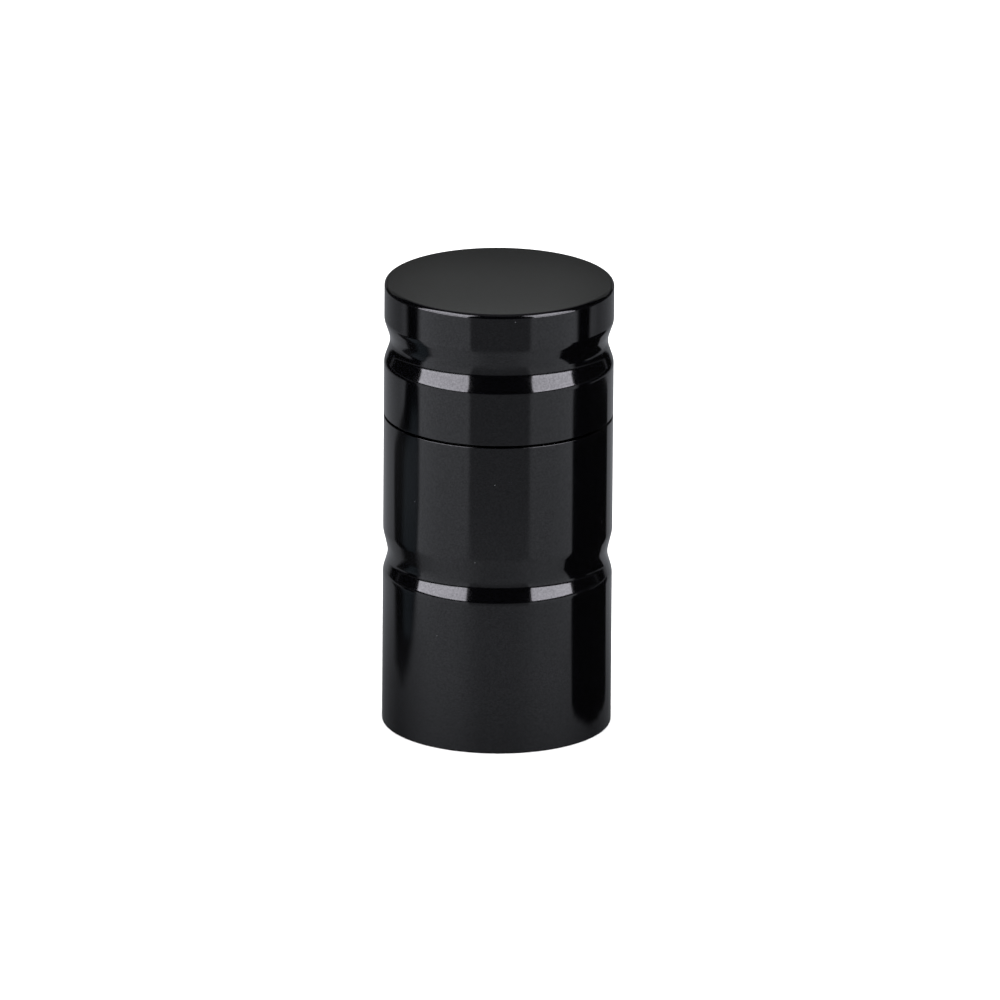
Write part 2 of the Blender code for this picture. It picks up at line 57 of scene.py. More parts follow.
outerRadius, seamTop, topFace = span("lid_shell")
flangeRadius, plateSkirtEnd, lowerTips = span("lower_tooth_plate")
plateRadius, upperTips, upperPlateTop = span("upper_tooth_plate")
capRadius, capFace, capTop = span("base_cap")
postRadius, postTail, postTop = span("center_post")
bushRadius, _, bushTop = span("hub_bush")
_, _, glideTop = span("glide_ring")
gasketRadius, gasketFoot, _ = span("plate_gasket")
lockRadius, lockFoot, lockTop = span("screen_lock_ring")
_, screenFrameFoot, _ = span("screen_frame")
meshRadius, meshFoot, meshTop = span("screen_mesh")
_, nutFoot, nutTop = span("post_nut")
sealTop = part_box("base_o_ring")[1].z / mm
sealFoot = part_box("base_o_ring")[0].z / mm
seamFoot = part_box("body_shell")[1].z / mm
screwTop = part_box("upper_plate_screw_1")[1].z / mm
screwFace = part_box("upper_plate_screw_1")[0].z / mm
plateFace = screwFace - gap
threadBore = capRadius + gap
floorUnder = nutTop + gap
facets = {
    # how many flat faces go round each kind of turned piece
    "shell": 320, "threaded": 240, "ring": 192, "bush": 128, "small": 96, "screw": 64, "screwHole": 40, "drill": 32,
}


# turned shapes: a profile of (radius, height, corner rounding) in mm, spun about Z

arcs = {
    "share": 0.45,  # of the shorter wall beside a corner, the most that its rounding may take
    "stepsPerRadian": 12,
    "hold": 0.02,  # mm beyond the arc, where a point keeps the flat wall shading flat
}


def roundCorners(points, closed):
    # a true arc at each rounded corner, held by a close point on both sides
    rounded = []
    last = len(points) - 1
    for i, (r, z, rounding) in enumerate(points):
        corner = Vector((r, z))
        if rounding == 0 or (not closed and i in (0, last)):
            rounded.append(corner)
            continue
        before = Vector(points[i - 1][:2]) - corner
        after = Vector(points[(i + 1) % len(points)][:2]) - corner
        reach = min(rounding, before.length * arcs["share"], after.length * arcs["share"])
        into, out = -before.normalized(), after.normalized()
        turn = into.angle_signed(out)
        radius = reach / math.tan(abs(turn) / 2)
        side = Vector((-into.y, into.x)) * (-1 if turn > 0 else 1)
        center = corner - into * reach + side * radius
        steps = max(3, round(abs(turn) * arcs["stepsPerRadian"] * min(1, 0.4 + reach)))
        rounded.append(corner - into * (reach + arcs["hold"]))
        for step in range(steps + 1):
            spoke = Matrix.Rotation(-turn * step / steps, 2) @ -side
            rounded.append(center + spoke * radius)
        rounded.append(corner + out * (reach + arcs["hold"]))
    return rounded


def threadRows(r, fromZ, toZ, depth, pitch=1.5, perTurn=12):
    # rows of (radius, height, 0, thread depth here) that the lathe turns into a helix
    rows = []
    count = int(abs(fromZ - toZ) / pitch * perTurn)
    for i in range(count + 1):
        t = i / count
        fade = min(1, t * count / perTurn, (1 - t) * count / perTurn)
        rows.append((r, fromZ + (toZ - fromZ) * t, depth * fade, pitch))
    return rows


def spin(profile, segments, closed=None, threads=()):
    closed = profile[0][0] > 0 if closed is None else closed
    rows = [(p.x, p.y, 0, 1) for p in roundCorners(profile, closed)]
    for r, fromZ, toZ, depth in threads:
        at = [i for i, row in enumerate(rows) if abs(row[0] - r) < 0.02]
        between = [i for i in at if i + 1 in at and (rows[i][1] - fromZ) * (rows[i + 1][1] - fromZ) <= 0]
        rows[between[0] + 1:between[0] + 1] = threadRows(r, fromZ, toZ, depth)
    bm = bmesh.new()
    rings = []
    for r, z, depth, pitch in rows:
        if r < 1e-6:
            rings.append([bm.verts.new((0, 0, z * mm))] * segments)
            continue
        ring = []
        for i in range(segments):
            angle = 2 * math.pi * i / segments
            wave = abs(((z / pitch - i / segments) % 1) * 2 - 1)  # a vee thread's flanks
            radius = (r - depth * wave) * mm
            ring.append(bm.verts.new((radius * math.cos(angle), radius * math.sin(angle), z * mm)))
        rings.append(ring)
    pairs = list(zip(rings, rings[1:]))
    if closed:
        pairs.append((rings[-1], rings[0]))
    for upper, lower in pairs:
        for i in range(segments):
            j = (i + 1) % segments
            corners = [upper[i], lower[i], lower[j], upper[j]]
            corners = [v for n, v in enumerate(corners) if v not in corners[:n]]
            bm.faces.new(corners)
    bmesh.ops.recalc_face_normals(bm, faces=bm.faces)
    return bm


def addPiece(name, bm, material, body, replaced, sharpAngle=30):
    mesh = bpy.data.meshes.new(name)
    bm.to_mesh(mesh)
    bm.free()
    mesh.shade_smooth()
    mesh.set_sharp_from_angle(angle=math.radians(sharpAngle))
    mesh.materials.append(material)
    piece = bpy.data.objects.new(name, mesh)
    bpy.context.scene.collection.objects.link(piece)
    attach(piece, body)
    if replaced:
        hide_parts(*replaced)
    return piece


def cut(piece, bm, operation="DIFFERENCE"):
    # applies a Boolean with a throwaway tool mesh
    mesh = bpy.data.meshes.new("tool")
    bm.to_mesh(mesh)
    bm.free()
    tool = bpy.data.objects.new("tool", mesh)
    bpy.context.scene.collection.objects.link(tool)
    modifier = piece.modifiers.new("cut", "BOOLEAN")
    modifier.object = tool
    modifier.operation = operation
    modifier.solver = "EXACT"
    bpy.context.view_layer.update()
    made = bpy.data.meshes.new_from_object(piece.evaluated_get(bpy.context.evaluated_depsgraph_get()))
    piece.modifiers.clear()
    piece.data = made
    bpy.data.objects.remove(tool)
    made.set_sharp_from_angle(angle=math.radians(30))


# materials

def linear(hexColor):
    channels = [int(hexColor[i:i + 2], 16) / 255 for i in (1, 3, 5)]
    return [c / 12.92 if c <= 0.04045 else ((c + 0.055) / 1.055) ** 2.4 for c in channels] + [1]


def addNode(tree, kind, settings=None, inputs=None):
    node = tree.nodes.new(kind)
    for name, value in (settings or {}).items():
        setattr(node, name, value)
    for name, value in (inputs or {}).items():
        socket = node.inputs[name]
        if isinstance(value, bpy.types.NodeSocket):
            tree.links.new(value, socket)
        else:
            socket.default_value = value
    return node


def newMaterial(name, **inputs):
    material = bpy.data.materials.new(name)
    material.use_nodes = True
    tree = material.node_tree
    shader = tree.nodes["Principled BSDF"]
    for socket, value in inputs.items():
        shader.inputs[socket.replace("_", " ")].default_value = value
    place = addNode(tree, "ShaderNodeTexCoord").outputs["Object"]
    return material, tree, shader, place


def perMetre(millimetres):
    return 1 / (millimetres * mm)


anodised = {
    "color": "#020203",
    "deepColor": "#010102",  # at the bottom of the grain
    "sheen": 0.08,  # roughness of the polished, dyed and sealed skin
    "pits": 0.3,  # mm, the fine grain under the skin, drawn coarser than the real 0.05 mm so that it shows
    "pitDepth": 0.25,  # share of the reflection that a pit loses
    "smudge": 9,  # mm, faint patches from handling
    "dust": "#47484b",
    "dustSize": 0.1,  # mm
    "dustSpacing": 4.6,  # mm
}


def blackAnodisedAluminium():
    # polished, dyed black and sealed: the clear oxide mirrors the room faintly, over a ground with no light in it
    material, tree, shader, place = newMaterial("blackAnodisedAluminium", Metallic=0.0, IOR=1.5)
    pits = addNode(tree, "ShaderNodeTexNoise", {}, {
        "Vector": place, "Scale": perMetre(anodised["pits"]), "Detail": 2.0, "Roughness": 0.7,
    })
    smudge = addNode(tree, "ShaderNodeTexNoise", {}, {
        "Vector": place, "Scale": perMetre(anodised["smudge"]), "Detail": 4.0, "Roughness": 0.6,
    })
    gloss = addNode(tree, "ShaderNodeMapRange", {}, {
        "Value": pits.outputs["Fac"], "From Min": 0.3, "From Max": 0.7,
        "To Min": 0.5 * (1 - anodised["pitDepth"]), "To Max": 0.5 * (1 + anodised["pitDepth"]),
    })
    roughness = addNode(tree, "ShaderNodeMapRange", {}, {
        "Value": smudge.outputs["Fac"], "From Min": 0.35, "From Max": 0.7,
        "To Min": anodised["sheen"] - 0.01, "To Max": anodised["sheen"] + 0.03,
    })
    tint = addNode(tree, "ShaderNodeMix", {"data_type": "RGBA"}, {
        "Factor": pits.outputs["Fac"], "A": linear(anodised["deepColor"]), "B": linear(anodised["color"]),
    })
    bump = addNode(tree, "ShaderNodeBump", {}, {
        "Height": pits.outputs["Fac"], "Strength": 0.04, "Distance": 0.01 * mm,
    })
    cells = addNode(tree, "ShaderNodeTexVoronoi", {}, {
        "Vector": place, "Scale": perMetre(anodised["dustSpacing"]),
    })
    speck = addNode(tree, "ShaderNodeMath", {"operation": "LESS_THAN"}, {
        0: cells.outputs["Distance"], 1: anodised["dustSize"] / anodised["dustSpacing"],
    })
    dusted = addNode(tree, "ShaderNodeMix", {"data_type": "RGBA"}, {
        "Factor": speck.outputs["Value"], "A": tint.outputs["Result"], "B": linear(anodised["dust"]),
    })
    tree.links.new(dusted.outputs["Result"], shader.inputs["Base Color"])
    tree.links.new(roughness.outputs["Result"], shader.inputs["Roughness"])
    tree.links.new(gloss.outputs["Result"], shader.inputs["Specular IOR Level"])
    tree.links.new(bump.outputs["Normal"], shader.inputs["Normal"])
    return material


turnedMarks = {
    "feed": 0.22,  # mm between the tool's rings, drawn wider than the real 0.08 mm
    "valleyShare": 0.86,  # brightness of a ring's valley
    "haze": 6,  # mm
}


def machinedMetal(name, color, roughness, feedDepth):
    # turned on a lathe: fine rings about the axis that stretch each highlight into a fan
    material, tree, shader, place = newMaterial(name, Metallic=1.0)
    parts = addNode(tree, "ShaderNodeSeparateXYZ", {}, {"Vector": place})
    flat = addNode(tree, "ShaderNodeCombineXYZ", {}, {"X": parts.outputs["X"], "Y": parts.outputs["Y"]})
    radius = addNode(tree, "ShaderNodeVectorMath", {"operation": "LENGTH"}, {"Vector": flat.outputs["Vector"]})
    along = addNode(tree, "ShaderNodeMath", {"operation": "ADD"}, {
        0: radius.outputs["Value"], 1: parts.outputs["Z"],
    })
    line = addNode(tree, "ShaderNodeCombineXYZ", {}, {"X": along.outputs["Value"]})
    rings = addNode(tree, "ShaderNodeTexNoise", {"noise_dimensions": "3D"}, {
        "Vector": line.outputs["Vector"], "Scale": perMetre(turnedMarks["feed"]), "Detail": 2.0,
    })
    haze = addNode(tree, "ShaderNodeTexNoise", {}, {
        "Vector": place, "Scale": perMetre(turnedMarks["haze"]), "Detail": 3.0,
    })
    polish = addNode(tree, "ShaderNodeMapRange", {}, {
        "Value": haze.outputs["Fac"], "From Min": 0.3, "From Max": 0.7,
        "To Min": roughness - 0.05, "To Max": roughness + 0.08,
    })
    tint = addNode(tree, "ShaderNodeMix", {"data_type": "RGBA"}, {
        "Factor": rings.outputs["Fac"], "A": linear(color),
        "B": [c * turnedMarks["valleyShare"] for c in linear(color)[:3]] + [1],
    })
    bump = addNode(tree, "ShaderNodeBump", {}, {
        "Height": rings.outputs["Fac"], "Strength": 0.35, "Distance": feedDepth * mm,
    })
    tree.links.new(tint.outputs["Result"], shader.inputs["Base Color"])
    tree.links.new(polish.outputs["Result"], shader.inputs["Roughness"])
    tree.links.new(bump.outputs["Normal"], shader.inputs["Normal"])
    return material


def nickelPlate():
    # barrel-plated on pressed powder: bright, a little warm, with a fine orange peel
    material, tree, shader, place = newMaterial("nickelPlate", Metallic=1.0)
    peel = addNode(tree, "ShaderNodeTexNoise", {}, {"Vector": place, "Scale": perMetre(0.5), "Detail": 2.0})
    tint = addNode(tree, "ShaderNodeMix", {"data_type": "RGBA"}, {
        "Factor": peel.outputs["Fac"], "A": linear("#d8d2c6"), "B": linear("#c3bbab"),
    })
    polish = addNode(tree, "ShaderNodeMapRange", {}, {
        "Value": peel.outputs["Fac"], "To Min": 0.12, "To Max": 0.26,
    })
    bump = addNode(tree, "ShaderNodeBump", {}, {
        "Height": peel.outputs["Fac"], "Strength": 0.2, "Distance": 0.01 * mm,
    })
    tree.links.new(tint.outputs["Result"], shader.inputs["Base Color"])
    tree.links.new(polish.outputs["Result"], shader.inputs["Roughness"])
    tree.links.new(bump.outputs["Normal"], shader.inputs["Normal"])
    return material


def mouldedBlack(name, color, roughness, grain):
    # turned acetal or moulded rubber: dark, soft sheen, with a fine matt grain
    material, tree, shader, place = newMaterial(name, Metallic=0.0, IOR=1.48)
    skin = addNode(tree, "ShaderNodeTexNoise", {}, {"Vector": place, "Scale": perMetre(grain), "Detail": 3.0})
    tint = addNode(tree, "ShaderNodeMix", {"data_type": "RGBA"}, {
        "Factor": skin.outputs["Fac"], "A": linear(color), "B": [c * 1.6 for c in linear(color)[:3]] + [1],
    })
    matt = addNode(tree, "ShaderNodeMapRange", {}, {
        "Value": skin.outputs["Fac"], "To Min": roughness - 0.08, "To Max": roughness + 0.08,
    })
    bump = addNode(tree, "ShaderNodeBump", {}, {
        "Height": skin.outputs["Fac"], "Strength": 0.25, "Distance": 0.02 * mm,
    })
    tree.links.new(tint.outputs["Result"], shader.inputs["Base Color"])
    tree.links.new(matt.outputs["Result"], shader.inputs["Roughness"])
    tree.links.new(bump.outputs["Normal"], shader.inputs["Normal"])
    return material


anodisedBlack = blackAnodisedAluminium()
clearAluminium = machinedMetal("turnedAluminium", "#dcdde0", 0.28, 0.02)
stainlessSteel = machinedMetal("turnedStainlessSteel", "#cbc8c2", 0.24, 0.012)
brightNickel = nickelPlate()
acetal = mouldedBlack("turnedAcetal", "#1a1a1b", 0.38, 0.4)
nitrile = mouldedBlack("mouldedNitrileRubber", "#161616", 0.62, 0.25)
print("materials made")


# the two shells

grooves = {
    "lid": {"middle": topFace - 10.6, "upper": 3.75, "lower": 3.7, "depth": 1.0, "round": 0.45},
    "barrel": {"middle": 30.8, "upper": 4.1, "lower": 3.35, "depth": 0.8, "round": 0.38},
    "edge": 0.5,  # mm, rounding of a groove's two edges
}


def grooveProfile(which):
    groove = grooves[which]
    apexDepth = groove["depth"] / (1 - groove["round"] / 2)
    apex = Vector((outerRadius - apexDepth, groove["middle"]))
    top = Vector((outerRadius, groove["middle"] + groove["upper"]))
    bottom = Vector((outerRadius, groove["middle"] - groove["lower"]))
    start = apex.lerp(top, groove["round"])
    end = apex.lerp(bottom, groove["round"])
    points = [(top.x, top.y, grooves["edge"])]
    for i in range(25):
        t = i / 24
        valley = start.lerp(apex, t).lerp(apex.lerp(end, t), t)
        points.append((valley.x, valley.y, 0))
    points.append((bottom.x, bottom.y, grooves["edge"]))
    return points


lid = {
    "topEdge": 0.78, "rimEdge": 0.16, "wall": 2.8, "web": 4.5, "seatWall": 1.8,
    "crown": 0.03, "crownStart": 9,  # mm that the flat top falls, and the radius where it begins
}
lidBore = outerRadius - lid["wall"]
webUnder = topFace - lid["web"]
glideSeat = outerRadius - lid["seatWall"]
crown = []  # polishing rolls the flat top off a little towards its edge
for i in range(13):
    t = i / 16
    radius = lid["crownStart"] + (outerRadius - lid["crownStart"]) * t
    crown.append((radius, topFace - lid["crown"] * t * t, 0))
addPiece("lidShell", spin([
    (0, topFace, 0),
    *crown,
    (outerRadius, topFace - lid["crown"], lid["topEdge"]),
    *grooveProfile("lid"),
    (outerRadius, seamTop, lid["rimEdge"]),
    (glideSeat, seamTop, 0.12),
    (glideSeat, glideTop + gap, 0.05),
    (lidBore, glideTop + gap, 0.1),
    (lidBore, webUnder, 0.4),
    (0, webUnder, 0),
], facets["shell"]), anodisedBlack, "lid", ["lid_shell"])

barrel = {
    "rimEdge": 0.09, "baseEdge": 0.3, "mouthWall": 1.5, "catchWall": 4.6, "catchStep": 9.6, "threadDepth": 0.28,
}
mouthBore = outerRadius - barrel["mouthWall"]
catchBore = outerRadius - barrel["catchWall"]
screenStep = screenFrameFoot - gap
lockGroove = lockRadius + gap
addPiece("barrelShell", spin([
    (outerRadius, seamFoot, barrel["rimEdge"]),
    *grooveProfile("barrel"),
    (outerRadius, 0, barrel["baseEdge"]),
    (threadBore, 0, 0.2),
    (threadBore, barrel["catchStep"], 0.05),
    (catchBore, barrel["catchStep"], 0.1),
    (catchBore, screenStep, 0.15),
    (threadBore, screenStep, 0.05),
    (threadBore, lockFoot - gap, 0.05),
    (lockGroove, lockFoot - gap, 0.05),
    (lockGroove, lockTop + gap, 0.05),
    (threadBore, lockTop + gap, 0.05),
    (threadBore, gasketFoot - gap, 0.15),
    (mouthBore, gasketFoot - gap, 0.05),
    (mouthBore, seamFoot, 0.12),
], facets["shell"], threads=[
    (threadBore, 0.9, capTop + 0.6, -barrel["threadDepth"]),
    (threadBore, plateSkirtEnd - 0.5, gasketFoot - 0.8, -barrel["threadDepth"]),
]), anodisedBlack, "barrel", ["body_shell"])
print("shells turned")


# the toothed plates

teeth = {
    "halfRadial": 1.05,
    "halfAcross": 1.75,
    "rimHalfRadial": 1.3,
    "taper": 0.82,
    "sink": 0.5,  # mm of root inside the plate
    "sweepGap": 0.55,
    "spacing": 7.5,
    "edge": 0.1,  # mm, the cutter's radius left on each edge
}
plates = {
    "rimWall": 1.8, "floorStep": 1.2, "rimStep": 6.7, "threadDepth": 0.35, "magnetHole": 2.8, "postHole": 1.8,
    "dropHole": 1.35, "dropSpacing": 5.5,  # mm, radius of the holes that ground herb falls through
}
rimOuter = plateRadius
rimInner = rimOuter - plates["rimWall"]
floorTop = seamFoot + plates["floorStep"]
rimTop = seamFoot + plates["rimStep"]
rimRing = rimInner + teeth["sink"] - teeth["rimHalfRadial"]
ringStep = 2 * teeth["halfRadial"] + teeth["sweepGap"]
outerRing = rimRing - teeth["rimHalfRadial"] - teeth["sweepGap"] - teeth["halfRadial"]
upperRings = [outerRing, outerRing - 2 * ringStep]
lowerRings = [outerRing - ringStep]


def around(count, radius, start=0.0):
    for i in range(count):
        angle = start + 2 * math.pi * i / count
        yield angle, Vector((radius * math.cos(angle), radius * math.sin(angle), 0))


def toothCount(radius):
    return 3 * max(1, int(2 * math.pi * radius / (3 * teeth["spacing"])))


def addTeeth(bm, radius, root, tip, halfRadial):
    # tapered diamonds, each edge and the tip eased as the milling cutter and tumbling leave them
    for angle, place in around(toothCount(radius), radius):
        tooth = bmesh.new()
        bmesh.ops.create_cone(
            tooth, cap_ends=True, segments=4, radius1=1, radius2=teeth["taper"], depth=abs(tip - root) * mm,
        )
        flip = Matrix.Rotation(math.pi if tip < root else 0, 4, "X")
        size = Matrix.Diagonal((halfRadial * mm, teeth["halfAcross"] * mm, 1, 1))
        place.z = (root + tip) / 2
        move = Matrix.Translation(place * mm) @ Matrix.Rotation(angle, 4, "Z") @ size @ flip
        bmesh.ops.transform(tooth, matrix=move, verts=tooth.verts)
        bmesh.ops.bevel(
            tooth, geom=tooth.edges[:], offset=teeth["edge"] * mm, segments=2, affect="EDGES", profile=0.5,
        )
        bmesh.ops.recalc_face_normals(tooth, faces=tooth.faces)
        mesh = bpy.data.meshes.new("tooth")
        tooth.to_mesh(mesh)
        tooth.free()
        bm.from_mesh(mesh)
        bpy.data.meshes.remove(mesh)


def addDrill(bm, place, radius, bottom, top, segments=facets["drill"]):
    bmesh.ops.create_cone(
        bm, cap_ends=True, segments=segments, radius1=radius * mm, radius2=radius * mm,
        depth=(top - bottom) * mm,
        matrix=Matrix.Translation((place.x * mm, place.y * mm, (bottom + top) / 2 * mm)),
    )


magnetHole = plates["magnetHole"]
bushHole = bushRadius + gap
upperPlate = addPiece("upperToothPlate", spin([
    (plateRadius, upperPlateTop, 0.15),
    (plateRadius, plateFace, 0.3),
    (bushHole, plateFace, 0.12),
    (bushHole, bushTop + gap, 0.05),
    (magnetHole, bushTop + gap, 0.05),
    (magnetHole, upperPlateTop, 0.1),
], facets["ring"]), clearAluminium, "lid", ["upper_tooth_plate"])
upperTeeth = bmesh.new()
for ring in upperRings:
    addTeeth(upperTeeth, ring, plateFace + teeth["sink"], upperTips, teeth["halfRadial"])
cut(upperPlate, upperTeeth, "UNION")

screws = {
    "count": 3, "start": math.radians(20), "circle": outerRing - ringStep, "shank": 0.85, "threadDepth": 0.12,
    "head": 1.7, "headHeight": 1.1, "headLip": 0.15, "socket": 0.6, "socketDepth": 0.8,
}
screwHoles = bmesh.new()
for _, place in around(screws["count"], screws["circle"], screws["start"]):
    hole = spin([
        (0, upperPlateTop + gap, 0),
        (screws["shank"] + gap, upperPlateTop + gap, 0),
        (screws["shank"] + gap, screwFace + screws["headHeight"] + gap, 0),
        (screws["head"] + gap, screwFace + gap, 0),
        (screws["head"] + gap, plateFace - gap, 0),
        (0, plateFace - gap, 0),
    ], facets["screwHole"])
    bmesh.ops.translate(hole, verts=hole.verts, vec=place * mm)
    mesh = bpy.data.meshes.new("hole")
    hole.to_mesh(mesh)
    hole.free()
    screwHoles.from_mesh(mesh)
    bpy.data.meshes.remove(mesh)
cut(upperPlate, screwHoles)

lowerPlate = addPiece("lowerToothPlate", spin([
    (rimOuter, rimTop, 0.25),
    (rimOuter, seamFoot, 0.05),
    (flangeRadius, seamFoot, 0.15),
    (flangeRadius, floorUnder, 0.15),
    (capRadius, floorUnder, 0.05),
    (capRadius, plateSkirtEnd, 0.25),
    (capRadius - plates["rimWall"], plateSkirtEnd, 0.15),
    (capRadius - plates["rimWall"], floorUnder, 0.3),
    (plates["postHole"], floorUnder, 0.1),
    (plates["postHole"], floorTop, 0.1),
    (rimInner, floorTop, 0.4),
    (rimInner, rimTop, 0.25),
], facets["threaded"], threads=[(capRadius, floorUnder - 0.6, plateSkirtEnd + 0.5, plates["threadDepth"])]),
    clearAluminium, "tooth_plate", ["lower_tooth_plate"])
lowerTeeth = bmesh.new()
addTeeth(lowerTeeth, rimRing, floorTop - teeth["sink"], lowerTips, teeth["rimHalfRadial"])
for ring in lowerRings:
    addTeeth(lowerTeeth, ring, floorTop - teeth["sink"], lowerTips, teeth["halfRadial"])
cut(lowerPlate, lowerTeeth, "UNION")
dropHoles = bmesh.new()
for ring in upperRings:
    count = int(2 * math.pi * ring / plates["dropSpacing"])
    for _, place in around(count, ring, math.pi / count):
        addDrill(dropHoles, place, plates["dropHole"], floorUnder - gap, floorTop + gap)
cut(lowerPlate, dropHoles)
print("tooth plates milled")


# small turned pieces in the lid and on the post

for i, (_, place) in enumerate(around(screws["count"], screws["circle"], screws["start"]), 1):
    body = spin([
        (0, screwTop, 0),
        (screws["shank"], screwTop, 0.15),
        (screws["shank"], screwFace + screws["headHeight"], 0.05),
        (screws["head"], screwFace + screws["headLip"], 0.05),
        (screws["head"], screwFace, 0.05),
        (0, screwFace, 0),
    ], facets["screw"], threads=[(screws["shank"], screwTop - 0.3, screwFace + 1.6, screws["threadDepth"])])
    bmesh.ops.translate(body, verts=body.verts, vec=place * mm)
    screw = addPiece(f"plateScrew{i}", body, stainlessSteel, "lid", [f"upper_plate_screw_{i}"])
    socket = bmesh.new()
    addDrill(socket, place, screws["socket"], screwFace - gap, screwFace + screws["socketDepth"], 6)
    cut(screw, socket)

post = {"tail": 1.5, "pocket": 2.2, "threadDepth": 0.16}
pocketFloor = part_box("post_magnet")[0].z / mm - gap
addPiece("centrePost", spin([
    (0, pocketFloor, 0),
    (post["pocket"], pocketFloor, 0.05),
    (post["pocket"], postTop, 0.1),
    (postRadius, postTop, 0.25),
    (postRadius, floorTop + gap, 0.1),
    (post["tail"], floorTop + gap, 0.05),
    (post["tail"], postTail, 0.2),
    (0, postTail, 0),
], facets["bush"], threads=[(post["tail"], floorTop - 0.4, postTail + 0.3, post["threadDepth"])]),
    stainlessSteel, "tooth_plate", ["center_post"])


def discMagnet(name, node, body):
    radius, low, high = span(node)
    addPiece(name, spin([
        (0, high, 0),
        (radius, high, 0.18),
        (radius, low, 0.18),
        (0, low, 0),
    ], facets["small"]), brightNickel, body, [node])


discMagnet("postMagnet", "post_magnet", "tooth_plate")
discMagnet("lidMagnet", "lid_magnet", "lid")


def plainRing(name, node, width, material, body, edge, segments=facets["ring"]):
    radius, low, high = span(node)
    return addPiece(name, spin([
        (radius, high, edge),
        (radius, low, edge),
        (radius - width, low, edge),
        (radius - width, high, edge),
    ], segments), material, body, [node])


ringSizes = {"runningFit": 0.08, "glideWidth": 1.0}  # mm between bush and post, and across the glide ring
bushWidth = bushRadius - postRadius - ringSizes["runningFit"]
gasketWidth = gasketRadius - threadBore - gap
plainRing("hubBush", "hub_bush", bushWidth, acetal, "lid", 0.15, facets["bush"])
plainRing("glideRing", "glide_ring", ringSizes["glideWidth"], acetal, "glide", 0.15)
plainRing("plateGasket", "plate_gasket", gasketWidth, nitrile, "plate_seal", 0.3)
print("post and rings made")


# hexagon nut, with the turned chamfers that round its corners

nut = {"chamfer": 0.45, "chamferHeight": 0.25, "threadDepth": 0.12}
nutCorner = max(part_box("post_nut")[1].x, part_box("post_nut")[1].y) / mm
turnedNut = spin([
    (nutCorner, nutTop - nut["chamferHeight"], 0),
    (nutCorner, nutFoot + nut["chamferHeight"], 0),
    (nutCorner - nut["chamfer"], nutFoot, 0),
    (post["tail"] + gap, nutFoot, 0.15),
    (post["tail"] + gap, nutTop, 0.15),
    (nutCorner - nut["chamfer"], nutTop, 0),
], facets["small"], threads=[(post["tail"] + gap, nutFoot + 0.3, nutTop - 0.3, -nut["threadDepth"])])
postNut = addPiece("postNut", turnedNut, stainlessSteel, "tooth_plate", ["post_nut"])
hexagon = bmesh.new()
bmesh.ops.create_cone(
    hexagon, cap_ends=True, segments=6, radius1=nutCorner * mm, radius2=nutCorner * mm,
    depth=(nutTop - nutFoot + 2 * gap) * mm, matrix=Matrix.Translation((0, 0, (nutTop + nutFoot) / 2 * mm)),
)
cut(postNut, hexagon, "INTERSECT")


# the sieve: frame ring, split lock ring and woven wire

sieve = {
    "ringWidth": 1.8, "split": 4.0, "wire": 0.14, "wireSides": 6,
    "pitch": 0.7,  # mm, a coarser weave than the real one, so that it shows
}
plainRing("sieveFrame", "screen_frame", sieve["ringWidth"], stainlessSteel, "barrel", 0.15)
lockRing = plainRing(
    "sieveLockRing", "screen_lock_ring", sieve["ringWidth"], stainlessSteel, "barrel", 0.2
)
split = bmesh.new()
splitPlace = Matrix.Translation((0, lockRadius * mm, (lockFoot + lockTop) / 2 * mm))
bmesh.ops.create_cube(split, size=1, matrix=splitPlace @ Matrix.Diagonal((sieve["split"] * mm, 8 * mm, 4 * mm, 1)))
cut(lockRing, split)


def wovenWires():
    # wires cross over and under each other at every pitch
    bm = bmesh.new()
    middle = (meshFoot + meshTop) / 2
    lift = (meshTop - meshFoot) / 2 - sieve["wire"] / 2
    pitch, sides = sieve["pitch"], sieve["wireSides"]
    reach = int(meshRadius / pitch)
    for across in (0, 1):
        for n in range(-reach, reach + 1):
            offset = n * pitch
            half = math.sqrt(max(meshRadius ** 2 - offset ** 2, 0)) - sieve["wire"]
            if half < pitch:
                continue
            steps = max(4, int(4 * half / pitch))
            rings = []
            for s in range(steps + 1):
                x = -half + 2 * half * s / steps
                side = 1 if (n + across) % 2 else -1
                z = middle + side * lift * math.cos(math.pi * x / pitch)
                ring = []
                for k in range(sides):
                    turn = 2 * math.pi * k / sides
                    y = offset + sieve["wire"] / 2 * math.cos(turn)
                    height = z + sieve["wire"] / 2 * math.sin(turn)
                    point = (y, x, height) if across else (x, y, height)
                    ring.append(bm.verts.new(Vector(point) * mm))
                rings.append(ring)
            for first, second in zip(rings, rings[1:]):
                for k in range(sides):
                    bm.faces.new((first[k], first[k - 1], second[k - 1], second[k]))
            bm.faces.new(rings[0])
            bm.faces.new(rings[-1][::-1])
    bmesh.ops.recalc_face_normals(bm, faces=bm.faces)
    return bm


addPiece("sieveMesh", wovenWires(), stainlessSteel, "barrel", ["screen_mesh"], 60)
print("sieve woven")


# base cap, its seal and the scraper

